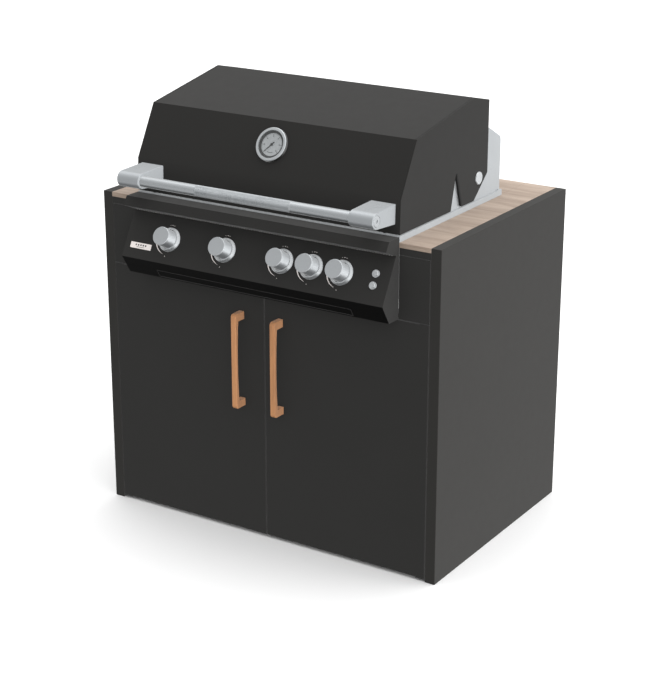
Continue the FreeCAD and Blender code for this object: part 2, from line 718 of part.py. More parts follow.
def build_nodes():
    nodes = {}
    for side in ("left", "right"):
        nodes["side_panel_" + side] = side_panel(side)
        nodes["door_" + side] = door(side)
        nodes["door_handle_" + side] = door_handle(side)
    nodes["cabinet_floor"] = box(-INNER_X, INNER_X, 26, 648, 12, 30)
    nodes["cabinet_back"] = box(-INNER_X, INNER_X, 648, 656, 12, BOARD_Z)
    nodes["support_frame"] = support_frame()
    nodes["fascia_panels"] = fascia_panels()
    nodes["worktop_right"] = worktop_side()
    nodes["worktop_left"] = mirrored(worktop_side())
    nodes["worktop_back"] = worktop_back()
    nodes["door_pivot_brackets"] = door_pivot_brackets()
    nodes["door_catches"] = both_sides(box(20, 60, 20.5, 40, 645, 660))

    nodes["trim_flange"] = trim_flange()
    nodes["firebox"] = firebox()
    nodes["hinge_plates"] = both_sides(hinge_plate())
    nodes["hood_pivots"] = both_sides(hood_pivot())
    nodes["hood_bumpers"] = both_sides(rod(V(340, 13, FLANGE_Z), V(340, 13, 877.4), 6))
    nodes["rear_housing"] = rear_housing()
    nodes["rear_burner"] = rear_burner()

    nodes["control_panel"] = control_panel()
    nodes["badge_plate"] = badge_plate()
    nodes["panel_bezels"] = panel_bezels()
    nodes["valve_bodies"] = Part.makeCompound([valve_body(x) for x in KNOB_X])
    for number, x in enumerate(KNOB_X, 1):
        nodes["valve_plug_%d" % number] = valve_plug(x)
        nodes["knob_%d" % number] = knob(x)
    nodes["igniter_box"] = igniter_box()
    for which in BUTTON_S:
        nodes["push_button_" + which] = push_button(which)
    nodes["electrodes"] = electrodes()

    nodes["manifold"] = manifold()
    nodes["gas_inlet"] = gas_inlet()
    nodes["rear_gas_tube"] = rear_gas_tube()
    nodes["burners"] = Part.makeCompound([burner(x) for x in BURNER_X])
    nodes["flame_tamers"] = Part.makeCompound([flame_tamer(x) for x in BURNER_X])
    nodes["cooking_grates"] = Part.makeCompound([grate(-374, -126), grate(-124, 124)])
    nodes["griddle_plate"] = griddle(126, 374)
    nodes["warming_rack"] = warming_rack()
    nodes["drip_tray"] = drip_tray()
    nodes["tray_rails"] = tray_rails()

    nodes["hood_shell"] = hood_shell()
    nodes["hood_ends"] = both_sides(hood_end())
    nodes["hood_liner"] = hood_liner()
    nodes["handle_tube"] = handle_tube()
    nodes["handle_grip"] = handle_grip()
    nodes["handle_brackets"] = both_sides(handle_bracket())
    nodes["thermometer_case"] = thermometer_case()
    nodes["thermometer_dial"] = thermometer_dial()
    nodes["thermometer_lens"] = thermometer_lens()
    nodes["thermometer_needle"] = thermometer_needle()
    return nodes


def main():
    os.makedirs("parts", exist_ok=True)
    for name, shape in build_nodes().items():
        moved = shape.copy()
        moved.translate(V(0, -CENTRE_Y, 0))
        moved.exportStep("parts/%s.step" % name)
        valid = "valid" if moved.isValid() else "NOT VALID"
        print("%-24s %2d solids %9.1f cm3 %s" % (name, len(moved.Solids), moved.Volume / 1000, valid))


main()
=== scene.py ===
import json
import math
import random

import bpy
from mathutils import Matrix, Vector


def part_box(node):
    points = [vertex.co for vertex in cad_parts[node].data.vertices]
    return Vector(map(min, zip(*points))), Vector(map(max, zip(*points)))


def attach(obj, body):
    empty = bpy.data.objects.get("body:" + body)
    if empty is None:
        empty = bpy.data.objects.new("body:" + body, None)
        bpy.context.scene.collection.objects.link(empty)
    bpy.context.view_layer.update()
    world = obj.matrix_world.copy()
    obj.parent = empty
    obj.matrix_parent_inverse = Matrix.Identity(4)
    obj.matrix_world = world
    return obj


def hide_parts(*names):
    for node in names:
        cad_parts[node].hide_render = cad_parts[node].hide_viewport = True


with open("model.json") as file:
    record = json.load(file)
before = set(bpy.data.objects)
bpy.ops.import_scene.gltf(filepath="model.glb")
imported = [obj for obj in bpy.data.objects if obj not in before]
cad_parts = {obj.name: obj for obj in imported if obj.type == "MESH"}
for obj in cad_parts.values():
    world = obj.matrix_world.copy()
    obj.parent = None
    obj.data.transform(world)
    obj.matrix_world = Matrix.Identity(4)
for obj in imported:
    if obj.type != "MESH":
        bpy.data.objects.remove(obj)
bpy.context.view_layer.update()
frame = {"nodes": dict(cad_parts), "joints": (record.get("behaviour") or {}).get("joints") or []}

NODES = frame["nodes"]
JOINTS = {joint["name"]: joint for joint in frame["joints"]}
MM = 0.001
RNG = random.Random(41)

X = Vector((1, 0, 0))


# ---------------------------------------------------------------- node materials

class Shader:
    """One procedural material, built on Principled. Patterns use the object's own coordinates."""

    def __init__(self, name, rough=0.5, metal=0.0, color=(0.5, 0.5, 0.5), **sockets):
        self.mat = bpy.data.materials.new(name)
        self.mat.use_nodes = True
        self.tree = self.mat.node_tree
        self.bsdf = self.tree.nodes["Principled BSDF"]
        self.set(self.bsdf, Roughness=rough, Metallic=metal)
        self.bsdf.inputs["Base Color"].default_value = (*color, 1)
        for key, value in sockets.items():
            self.bsdf.inputs[key.replace("_", " ")].default_value = value
        self.coords = self.add("ShaderNodeTexCoord").outputs["Object"]

    def set(self, node, **values):
        for key, value in values.items():
            node.inputs[key].default_value = value

    def add(self, kind, **properties):
        node = self.tree.nodes.new(kind)
        for key, value in properties.items():
            setattr(node, key, value)
        return node

    def wire(self, value, socket):
        if isinstance(value, bpy.types.NodeSocket):
            self.tree.links.new(value, socket)
        else:
            socket.default_value = value

    def math(self, operation, a, b=0.0, c=0.0):
        node = self.add("ShaderNodeMath", operation=operation)
        for socket, value in zip(node.inputs, (a, b, c)):
            self.wire(value, socket)
        return node.outputs[0]

    def mapped(self, scale=(1, 1, 1), rotation=(0, 0, 0), location=(0, 0, 0)):
        node = self.add("ShaderNodeMapping")
        self.wire(self.coords, node.inputs["Vector"])
        self.set(node, Scale=scale, Rotation=rotation, Location=location)
        return node.outputs[0]

    def noise(self, scale, vector=None, detail=3.0, rough=0.5, distortion=0.0, lines=False):
        node = self.add("ShaderNodeTexNoise", noise_dimensions="1D" if lines else "3D")
        if lines:
            self.wire(vector, node.inputs["W"])
        else:
            self.wire(self.coords if vector is None else vector, node.inputs["Vector"])
        self.set(node, Scale=scale, Detail=detail, Roughness=rough, Distortion=distortion)
        return node.outputs[0]

    def spread(self, value, low, high, start=0.3, end=0.7):
        """The value between start and end, stretched to run from low to high."""
        node = self.add("ShaderNodeMapRange", clamp=True)
        for socket, number in zip(node.inputs, (value, start, end, low, high)):
            self.wire(number, socket)
        return node.outputs[0]

    def ramp(self, value, *stops):
        node = self.add("ShaderNodeValToRGB")
        self.wire(value, node.inputs[0])
        points = node.color_ramp.elements
        while len(points) < len(stops):
            points.new(0.5)
        for point, (place, color) in zip(points, stops):
            point.position = place
            point.color = (*color, 1)
        return node.outputs[0]

    def blend(self, factor, a, b, mode="MIX"):
        node = self.add("ShaderNodeMix", data_type="RGBA", blend_type=mode)
        self.wire(factor, node.inputs[0])
        self.wire((*a, 1) if isinstance(a, tuple) else a, node.inputs[6])
        self.wire((*b, 1) if isinstance(b, tuple) else b, node.inputs[7])
        return node.outputs[2]

    def bump(self, height, distance, strength):
        node = self.add("ShaderNodeBump")
        self.set(node, Strength=strength, Distance=distance)
        self.wire(height, node.inputs["Height"])
        self.wire(node.outputs[0], self.bsdf.inputs["Normal"])

    def use(self, socket, value):
        self.wire(value, self.bsdf.inputs[socket])


DOWNWARD_SHADE = (-0.35, -0.15)       # looking down, and painted in shade: a normal's height below these


def scaled(color, factor):
    return tuple(channel * factor for channel in color)


def matt(name, color, rough=0.55, grain=2200, depth=0.00003, cloud=0.035, spec=0.15,
         underside_shade=1.0, wear=0.03):
    """Fine-grained matt surface: laminate, powder coat or moulded plastic.

    Faces that look down are painted in underside times the colour, as painted shade under things.
    """
    s = Shader(name, color=color, Specular_IOR_Level=spec)
    large = s.noise(5.0, detail=4)
    fine = s.noise(grain, detail=2)
    tint = s.ramp(large, (0.3, scaled(color, 1 - cloud)), (0.7, scaled(color, 1 + cloud)))
    speck = s.spread(fine, 0.86, 1.14)
    tone = s.blend(1.0, tint, s.ramp(speck, (0, (0, 0, 0)), (1, (1, 1, 1))), "MULTIPLY")
    # Painted shade: faces that look down are darkened by the underside factor.
    if underside_shade < 1.0:
        split = s.add("ShaderNodeSeparateXYZ")
        s.wire(s.add("ShaderNodeNewGeometry").outputs["True Normal"], split.inputs[0])
        down = s.spread(split.outputs[2], 1.0, 0.0, *DOWNWARD_SHADE)
        tone = s.blend(down, tone, scaled(color, underside_shade))
    s.use("Base Color", tone)
    worn = s.noise(38.0, detail=5, rough=0.65)
    s.use("Roughness", s.spread(worn, rough - wear, rough + wear))
    s.bump(fine, depth, 0.6)
    return s.mat


def brushed(name, color, along, rough=0.3, lines=1400, depth=0.00002, contrast=0.10, metal=0.5):
    """Metal brushed along x, y or z. The lines are long in that direction and fine across it."""
    s = Shader(name, metal=metal, color=color)
    scale = [lines, lines, lines]
    scale["xyz".index(along)] = 9.0
    hair = s.noise(1.0, s.mapped(tuple(scale)), detail=3, rough=0.6)
    cloud = s.noise(9.0, detail=3)
    dark = scaled(color, 1 - contrast)
    light = tuple(min(1.0, channel * (1 + contrast)) for channel in color)
    tone = s.ramp(s.math("MULTIPLY_ADD", cloud, 0.35, s.math("MULTIPLY", hair, 0.65)),
                  (0.32, dark), (0.68, light))
    s.use("Base Color", tone)
    s.use("Roughness", s.spread(hair, rough - 0.07, rough + 0.09))
    s.bump(hair, depth, 0.35)
    return s.mat


def satin(name, color, rough=0.34, grain=1600, depth=0.00002, contrast=0.05, metal=0.5):
    """Metal with no direction in its finish: bead blasted, cast or mill."""
    s = Shader(name, metal=metal, color=color)
    fine = s.noise(grain, detail=3)
    cloud = s.noise(14.0, detail=4)
    tone = s.ramp(cloud, (0.3, scaled(color, 1 - contrast)), (0.7, scaled(color, 1 + contrast)))
    s.use("Base Color", tone)
    s.use("Roughness", s.spread(s.math("MULTIPLY_ADD", fine, 0.5, s.math("MULTIPLY", cloud, 0.5)),
                                rough - 0.06, rough + 0.08))
    s.bump(fine, depth, 0.4)
    return s.mat


def turned(name, color, point, axis, rough, skirt, lines=2600, depth=0.00002, contrast=0.09,
           metal=0.5):
    """Metal with lathe rings round the line through point along axis.

    Beyond the skirt's radius it has the skirt's colour and metalness.
    """
    s = Shader(name, metal=metal, color=color)
    turn = Vector(axis).rotation_difference(Vector((0, 0, 1))).to_matrix()
    place = s.mapped(rotation=turn.to_euler(), location=-(turn @ Vector(point)))
    split = s.add("ShaderNodeSeparateXYZ")
    s.wire(place, split.inputs[0])
    flat = s.math("ADD", s.math("MULTIPLY", split.outputs[0], split.outputs[0]),
                  s.math("MULTIPLY", split.outputs[1], split.outputs[1]))
    radius = s.math("SQRT", flat)
    rings = s.math("ADD", radius, s.math("MULTIPLY", split.outputs[2], 1.3))
    hair = s.noise(lines, rings, detail=2, lines=True)
    cloud = s.noise(30.0, detail=3)
    tone = s.ramp(hair, (0.3, scaled(color, 1 - contrast)), (0.7, scaled(color, 1 + contrast)))
    start, skirt_color, skirt_metal = skirt
    side = s.spread(radius, 0.0, 1.0, start, start + 0.4 * MM)
    s.use("Metallic", s.spread(side, metal, skirt_metal, 0.0, 1.0))
    s.use("Base Color", s.blend(side, tone, skirt_color))
    s.use("Roughness", s.spread(s.math("MULTIPLY_ADD", cloud, 0.3, s.math("MULTIPLY", hair, 0.7)),
                                rough - 0.05, rough + 0.08))
    s.bump(hair, depth, 0.3)
    return s.mat


def wood(name, light, dark, along, fibre=1.0, rough=0.5):
    """Oiled timber: broad growth bands, fine fibres and short open pores, all along one axis."""
    s = Shader(name, color=light, Specular_IOR_Level=0.35)
    index = "xyz".index(along)
    band = [26.0, 26.0, 26.0]
    band[index] = 3.0
    hair = [520.0 * fibre] * 3
    hair[index] = 9.0 * fibre
    pore = [900.0 * fibre] * 3
    pore[index] = 42.0 * fibre
    bands = s.noise(1.0, s.mapped(tuple(band)), detail=4, rough=0.55, distortion=0.7)
    fibres = s.noise(1.0, s.mapped(tuple(hair)), detail=4, rough=0.6)
    pores = s.noise(1.0, s.mapped(tuple(pore)), detail=1)
    mixed = s.math("MULTIPLY_ADD", bands, 0.62, s.math("MULTIPLY", fibres, 0.38))
    middle = tuple((a + b) / 2 for a, b in zip(light, dark))
    tone = s.ramp(mixed, (0.34, dark), (0.5, middle), (0.64, light))
    holes = s.spread(pores, 0.0, 1.0, 0.64, 0.72)
    s.use("Base Color", s.blend(s.math("MULTIPLY", holes, 0.45), tone, scaled(dark, 0.55)))
    s.use("Roughness", s.spread(fibres, rough - 0.06, rough + 0.10))
    height = s.math("SUBTRACT", s.math("MULTIPLY", fibres, 0.5), holes)
    s.bump(height, 0.00006, 0.5)
    return s.mat


def cast(name, color, rough=0.6, depth=0.0002):
    """Rough cast iron, browned in clouds by heat."""
    s = Shader(name, color=color, Specular_IOR_Level=0.2)
    lumps = s.noise(420.0, detail=5, rough=0.7)
    heat = s.noise(12.0, detail=4)
    s.use("Base Color", s.ramp(heat, (0.3, color), (0.75, tuple(c * 1.7 + 0.004 for c in color))))
    s.use("Roughness", s.spread(lumps, rough - 0.12, rough + 0.12))
    s.bump(lumps, depth, 0.7)
    return s.mat


def tinted_steel(name, color, heat_color):
    """Steel that flames have coloured in clouds."""
    s = Shader(name, metal=1.0, color=color)
    heat = s.noise(16.0, detail=5, distortion=0.6)
    s.use("Base Color", s.ramp(heat, (0.35, color), (0.55, heat_color), (0.7, scaled(color, 0.6))))
    s.use("Roughness", s.spread(s.noise(70.0, detail=4), 0.32, 0.52))
    s.bump(s.noise(900.0), 0.00003, 0.4)
    return s.mat


def ceramic(name, color, holes=False):
    """Glazed ceramic, or with holes the dull perforated face of an infrared burner."""
    s = Shader(name, rough=0.6, color=color)
    cloud = s.noise(60.0, detail=4)
    tone = s.ramp(cloud, (0.3, scaled(color, 0.8)), (0.7, color))
    if not holes:
        s.use("Base Color", tone)
        s.use("Roughness", s.spread(cloud, 0.18, 0.3))
        s.bump(s.noise(700.0), 0.00003, 0.3)
        return s.mat
    cells = s.add("ShaderNodeTexVoronoi", feature="F1")
    s.wire(s.coords, cells.inputs["Vector"])
    s.set(cells, Scale=420.0, Randomness=0.15)
    # Painted shade: each hole is painted near black, as the shade inside it; the bump also sinks
    # it.
    hole_and_shade = s.spread(cells.outputs["Distance"], 1.0, 0.0, 0.22, 0.30)
    s.use("Base Color", s.blend(hole_and_shade, tone, scaled(color, 0.12)))
    s.use("Roughness", s.spread(cloud, 0.7, 0.9))
    s.bump(s.math("MULTIPLY", hole_and_shade, -1.0), 0.0006, 0.8)
    return s.mat


def clear(name, color):
    """Thin clear window. Its low alpha lets what is behind it show."""
    s = Shader(name, rough=0.06, color=color, Alpha=0.03, IOR=1.45, Specular_IOR_Level=0.1)
    s.use("Roughness", s.spread(s.noise(90.0, detail=4), 0.03, 0.12))
    return s.mat


def point_on(joint, lift):
    """Point on a joint's axis, moved by lift along it, in metres."""
    return Vector(joint["pos_m"]) + Vector(joint["axis"]) * lift


KNOB_COUNT = 5
KNOB_PAINTED_LIGHT_RADIUS = 22.9 * MM       # from here out a knob's side wall is painted paler, as painted light
CASE_FRONT_RADIUS = 42.3 * MM       # and from here out the thermometer case's side wall has the hood's black
KNOB_OUT = Vector(JOINTS["valve_1_turn"]["axis"])
DIAL_IN = Vector(JOINTS["needle_turn"]["axis"])

HOOD_BLACK = (0.0225, 0.0219, 0.0208)
PANEL_BLACK = (0.0305, 0.0299, 0.0289)
DOOR_BLACK = (0.0280, 0.0275, 0.0264)
SIDE_BLACK = (0.0290, 0.0280, 0.0260)
STEEL = (0.41, 0.43, 0.445)
KNOB_STEEL = (0.42, 0.44, 0.455)

MATS = {
    "side_laminate": matt("side_laminate", SIDE_BLACK, 0.52, 1500, cloud=0.02, wear=0.015),
    "door_laminate": matt("door_laminate", DOOR_BLACK, 0.54, 1500, cloud=0.02, wear=0.015),
    "carcass_laminate": matt("carcass_laminate", (0.045, 0.045, 0.0435), 0.6, 900, spec=0.05),
    "frame_steel": matt("frame_steel", (0.03, 0.03, 0.03), 0.42, 1900, 0.00005),
    "worktop_wood": wood("worktop_wood", (0.455, 0.36, 0.29), (0.25, 0.185, 0.14), "x"),
    "handle_wood": wood("handle_wood", (0.60, 0.285, 0.125), (0.37, 0.17, 0.075), "z", 1.3),
    "black_plastic": matt("black_plastic", (0.02, 0.02, 0.02), 0.5, 1200, 0.00005),
    "stainless": brushed("stainless", STEEL, "x", 0.40, metal=0.3),
    "bright_steel": satin("bright_steel", (0.50, 0.52, 0.535), 0.27),
    "firebox_steel": brushed("firebox_steel", (0.42, 0.42, 0.42), "x", 0.42),
    "rubber": matt("rubber", (0.02, 0.02, 0.02), 0.75, 700, 0.0001),
    "burner_ceramic": ceramic("burner_ceramic", (0.62, 0.56, 0.46), holes=True),
    "electrode_ceramic": ceramic("electrode_ceramic", (0.8, 0.78, 0.72)),
    # Its downward faces are painted at 0.15 of the colour: painted shade in the undercut.
    "panel_enamel": matt("panel_enamel", PANEL_BLACK, 0.5, 2600, 0.00002, spec=0.08,
                         underside_shade=0.15),
    "badge_metal": matt("badge_metal", (0.90, 0.84, 0.81), 0.42, 1800),
    "brass": satin("brass", (0.50, 0.36, 0.15), 0.28),
    "knob_steel": satin("knob_steel", (0.52, 0.545, 0.56), 0.3, metal=0.4),
    "pipe_steel": matt("pipe_steel", (0.10, 0.10, 0.10), 0.38, 1500, 0.00003),
    "pipe_aluminium": brushed("pipe_aluminium", (0.66, 0.66, 0.66), "y", 0.3),
    "burner_steel": tinted_steel("burner_steel", (0.44, 0.43, 0.42), (0.42, 0.30, 0.20)),
    "cast_iron": cast("cast_iron", (0.018, 0.018, 0.018)),
    # Its downward faces are painted at 0.15 of the colour: painted shade under the tray.
    "tray_enamel": matt("tray_enamel", PANEL_BLACK, 0.5, 2600, 0.00002, spec=0.08,
                        underside_shade=0.15),
    "hood_enamel": matt("hood_enamel", HOOD_BLACK, 0.50, 2600, 0.00002, cloud=0.02, spec=0.11,
                        wear=0.015),
    "handle_steel": brushed("handle_steel", (0.42, 0.44, 0.455), "x", 0.26, 2200, contrast=0.05,
                            metal=0.7),
    "grip_steel": satin("grip_steel", (0.40, 0.42, 0.435), 0.28, metal=0.7),
    "bracket_metal": satin("bracket_metal", (0.37, 0.39, 0.405), 0.3, metal=0.5, contrast=0.02),
    "dial_paint": satin("dial_paint", (0.36, 0.375, 0.385), 0.5),
    "needle_paint": matt("needle_paint", (0.02, 0.02, 0.02), 0.5),
    "glass": clear("glass", (0.9, 0.95, 0.95)),
}
PRINT_WHITE = matt("print_white", (0.92, 0.86, 0.83), 0.6, 1500)
# Light grey of the seam beads: spot welds, and partly a painted highlight along the crease.
SEAM_HIGHLIGHT_GREY = matt("seam_highlight_grey", (0.60, 0.59, 0.575), 0.6, 1500)

for node in NODES.values():
    for material_slot in node.material_slots:
        material_slot.material = MATS[material_slot.material.name]
    node.visible_glossy = False     # metal mirrors only the room, not the black parts beside it

for number in range(1, KNOB_COUNT + 1):
    axle = JOINTS["valve_%d_turn" % number]
    # The side wall is painted 1.4 times paler and more metallic than the front: painted light.
    NODES["knob_%d" % number].material_slots[0].material = turned(
        "knob_steel_%d" % number, KNOB_STEEL, axle["pos_m"], axle["axis"], 0.34,
        skirt=(KNOB_PAINTED_LIGHT_RADIUS, scaled(KNOB_STEEL, 1.4), 0.6))
NODES["thermometer_case"].material_slots[0].material = turned(
    "thermometer_steel", (0.45, 0.47, 0.485), JOINTS["needle_turn"]["pos_m"], DIAL_IN, 0.28,
    skirt=(CASE_FRONT_RADIUS, HOOD_BLACK, 0.0))


# ---------------------------------------------------------------- rounded edges

WELD_GAP = 0.01 * MM
FLAT_ANGLE = math.radians(0.5)      # triangles closer to one plane than this are merged
SHARP_ANGLE = math.radians(28)      # edges sharper than this are rounded


def soften(names, width):
    """Rounds the sharp edges of CAD nodes as pressed, sawn or cast edges are."""
    for name in names.split():
        node = NODES[name]
        weld = node.modifiers.new("weld", "WELD")
        weld.merge_threshold = WELD_GAP
        flat = node.modifiers.new("flat", "DECIMATE")
        flat.decimate_type = "DISSOLVE"
        flat.angle_limit = FLAT_ANGLE
        bevel = node.modifiers.new("bevel", "BEVEL")
        bevel.limit_method = "ANGLE"
        bevel.angle_limit = SHARP_ANGLE
        bevel.width = width
        bevel.segments = 2
        bevel.harden_normals = False
        normals = node.modifiers.new("normals", "WEIGHTED_NORMAL")
        normals.weight = 80
        for polygon in node.data.polygons:
            polygon.use_smooth = True


soften("hood_shell", 0.9 * MM)
soften("hood_ends", 1.2 * MM)
soften("control_panel", 0.7 * MM)
soften("trim_flange rear_housing firebox", 0.5 * MM)
soften("hinge_plates", 0.3 * MM)
soften("fascia_panels cabinet_floor cabinet_back support_frame", 0.6 * MM)
soften("cooking_grates griddle_plate", 1.4 * MM)
soften("drip_tray tray_rails flame_tamers", 0.4 * MM)
soften("door_catches igniter_box", 1.0 * MM)
soften("badge_plate", 0.3 * MM)


# ---------------------------------------------------------------- mesh helpers

def piece(name, points, faces, body, slot, material=None):
    """A new flat-shaded piece in the object's frame, in metres, riding on a CAD body."""
    mesh = bpy.data.meshes.new(name)
    mesh.from_pydata([tuple(point) for point in points], [], faces)
    mesh.validate()
    made = bpy.data.objects.new(name, mesh)
    bpy.context.scene.collection.objects.link(made)
    made.data.materials.append(material or MATS[slot])
    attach(made, body)
    return made


class Shape:
    """Collects closed solids into one mesh."""

    def __init__(self):
        self.points = []
        self.faces = []

    def add(self, points, faces):
        start = len(self.points)
        self.points += [Vector(point) for point in points]
        self.faces += [[start + i for i in face] for face in faces]

    def plate(self, outline, lift):
        """Closed plate between the outline and the same outline moved by lift."""
        count = len(outline)
        faces = [list(range(count))[::-1], list(range(count, 2 * count))]
        faces += [[i, (i + 1) % count, count + (i + 1) % count, count + i] for i in range(count)]
        self.add(list(outline) + [Vector(p) + lift for p in outline], faces)

    def lathe(self, centre, axis, profile, steps=48):
        """Ring or disc turned from (radius, height) pairs, in millimetres.

        A radius of 0 closes an end, and a profile without one is closed into a ring.
        """
        axis = Vector(axis).normalized()
        side = axis.orthogonal().normalized()
        other = axis.cross(side)
        points = []
        rows = []
        for radius, height in profile:
            base = Vector(centre) + axis * (height * MM)
            if radius == 0:
                rows.append([len(points)])
                points.append(base)
                continue
            rows.append(list(range(len(points), len(points) + steps)))
            for i in range(steps):
                angle = 2 * math.pi * i / steps
                around = side * math.cos(angle) + other * math.sin(angle)
                points.append(base + around * (radius * MM))
        faces = []
        closed = profile[0][0] and profile[-1][0]
        pairs = list(zip(rows, rows[1:]))
        if closed:
            pairs.append((rows[-1], rows[0]))
        for low, high in pairs:
            for i in range(steps):
                j = (i + 1) % steps
                if len(low) == 1:
                    faces.append([low[0], high[j], high[i]])
                elif len(high) == 1:
                    faces.append([low[i], low[j], high[0]])
                else:
                    faces.append([low[i], low[j], high[j], high[i]])
        self.add(points, faces)

    def piece(self, name, body, slot, material=None):
        piece(name, self.points, self.faces, body, slot, material)


class Surface:
    """Flat face of the object. Places on it are millimetres to its right, up it and out of it."""

    def __init__(self, origin, out):
        self.origin = Vector(origin)
        self.out = Vector(out).normalized()
        self.up = self.out.cross(X).normalized()

    def at(self, right, up, out=0.0):
        return self.origin + (X * right + self.up * up + self.out * out) * MM

    def plate(self, shape, outline, low, high):
        """Plate with this outline, from low to high above the face."""
        shape.plate([self.at(u, v, low) for u, v in outline], self.out * (high - low) * MM)


def polar(radius, degrees):
    angle = math.radians(degrees)
    return radius * math.cos(angle), radius * math.sin(angle)


def rectangle(left, right, low, high):
    return [(left, low), (right, low), (right, high), (left, high)]


def disc(centre, radius, corners):
    """Outline of a round dot."""
    spots = (polar(radius, 360 / corners * i) for i in range(corners))
    return [(centre[0] + u, centre[1] + v) for u, v in spots]


VALVE_LIFT = 20 * MM        # a valve joint's point stands this far proud of the control face
NEEDLE_LIFT = 5 * MM        # and the needle's point of the face that carries the dial


def knob_surface(number):
    """The control face at one knob's centre."""
    axle = JOINTS["valve_%d_turn" % number]
    return Surface(point_on(axle, -VALVE_LIFT), axle["axis"])


DIAL = Surface(point_on(JOINTS["needle_turn"], NEEDLE_LIFT), -DIAL_IN)


# ---------------------------------------------------------------- printed marks on the panel

PRINT_LOW = 0.02            # a print's underside above the face, and its thickness, in millimetres
PRINT_THICK = 0.12
ARC_RADIUS = 39.4
ARC_STEPS = 24
DOT_CORNERS = 10
# Each dot's place, in millimetres from the knob's centre and degrees, its radius, and how far it
# is drawn out sideways.
DOTS = ((43.2, 267, 0.9, 0.0), (37.2, 84, 0.95, 0.35), (37.6, 93, 1.1, 0.35), (37.2, 103, 0.8, 0.0))


def arc_mark(shape, face):
    """Arc round a knob's lower left, which tapers towards its lower end."""
    outer = []
    inner = []
    for i in range(ARC_STEPS + 1):
        angle = 176 + 80 * i / ARC_STEPS
        half = 1.55 * (1 - (i / ARC_STEPS) ** 1.8) + 0.12
        outer.append(face.at(*polar(ARC_RADIUS + half, angle), PRINT_LOW))
        inner.append(face.at(*polar(ARC_RADIUS - half, angle), PRINT_LOW))
    for i in range(ARC_STEPS):
        ring = [inner[i], outer[i], outer[i + 1], inner[i + 1]]
        shape.plate(ring, face.out * PRINT_THICK * MM)


def dot_mark(shape, face, radius, degrees, size, stretch):
    u, v = polar(radius, degrees)
    ring = []
    for i in range(DOT_CORNERS):
        turn = 360 / DOT_CORNERS * i
        du, dv = polar(size * (1 + stretch * math.cos(math.radians(turn * 2))), turn)
        ring.append(face.at(u + du, v + dv, PRINT_LOW))
    shape.plate(ring, face.out * PRINT_THICK * MM)


def panel_marks():
    shape = Shape()
    for number in range(1, KNOB_COUNT + 1):
        face = knob_surface(number)
        arc_mark(shape, face)
        for dot in DOTS:
            dot_mark(shape, face, *dot)
    shape.piece("panel_marks", "cabinet", "badge_metal", PRINT_WHITE)


def seam_beads():
    """Row of small spot welds in the crease between the nose and the control face, partly painted
    highlight.
    """
    low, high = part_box("control_panel")
    face = knob_surface(1)
    crease = 62.6           # above the knobs' centres
    bead_height = 0.9
    bead_lift = (0.05, 0.7)
    inset = 6
    pitch = 7.4
    shape = Shape()
    place = (low.x - face.origin.x) / MM + inset
    end = (high.x - face.origin.x) / MM - inset
    while place < end:
        length = 2.4 + 1.4 * RNG.random()
        outline = rectangle(place, place + length, crease - bead_height, crease)
        face.plate(shape, outline, *bead_lift)
        place += pitch
    # The beads' light grey is partly a painted highlight along the crease.
    shape.piece("panel_seam_beads", "cabinet", "panel_enamel", SEAM_HIGHLIGHT_GREY)


def badge_trim():
    """Raised rim and two rivets on the badge, and five blocks over a bar in place of a name."""
    low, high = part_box("badge_plate")
    face = Surface((low + high) / 2, KNOB_OUT)
    sunk, rim_top, print_top = 0.3, 1.0, 0.9        # heights above the badge's middle
    rim = 1.0
    margin = 0.4
    half_width = (high.x - low.x) / 2 / MM
    u = half_width - margin
    v = (high.z - low.z) / 2 / MM / face.up.z - margin
    rivet_u = half_width - 4.5
    shape = Shape()
    for outline in (rectangle(-u, u, v - rim, v), rectangle(-u, u, -v, -v + rim),
                    rectangle(-u, -u + rim, -v + rim, v - rim),
                    rectangle(u - rim, u, -v + rim, v - rim)):
        face.plate(shape, outline, sunk, rim_top)
    dome = [(0, 0), (1.5, 0), (1.3, 0.6), (0.7, 0.95), (0, 1.05)]
    for place in (-rivet_u, rivet_u):
        shape.lathe(face.at(place, 0, sunk), face.out, dome, 20)
    shape.piece("badge_trim", "cabinet", "badge_metal")

    pattern = Shape()
    half_block, block_pitch = 1.7, 7.5
    for i in range(-2, 3):
        middle = i * block_pitch
        block = rectangle(middle - half_block, middle + half_block, -0.3, 3.6)
        face.plate(pattern, block, sunk, print_top)
    face.plate(pattern, rectangle(-12, 12, -4.2, -3.3), sunk, print_top)
    pattern.piece("badge_pattern", "cabinet", "needle_paint")


panel_marks()
seam_beads()
badge_trim()


# ---------------------------------------------------------------- thermometer

SCALE_START = 229           # degrees, at the lower left, and the scale runs clockwise
SCALE_SWEEP = 270
TICKS = 30
MAJOR_EVERY = 5
TICK_TIP = 28.4             # radii, in millimetres
MAJOR_TICK = (24.6, 0.6)    # a tick's inner radius and half its width
MINOR_TICK = (26.6, 0.25)
DOT_CIRCLE = 21.6
DASH_CIRCLES = (19.6, 20.8)
DASHES = 8
INK = (3.82, 3.95)          # lowest and highest point of the dial's print
PIN_CAP = (6.02, 6.3)       # and of the cap on the needle's pin
DIAL_RING = [(29.2, 0), (35.3, 0), (35.3, 1.9), (34.4, 2.3), (29.2, 0.5)]


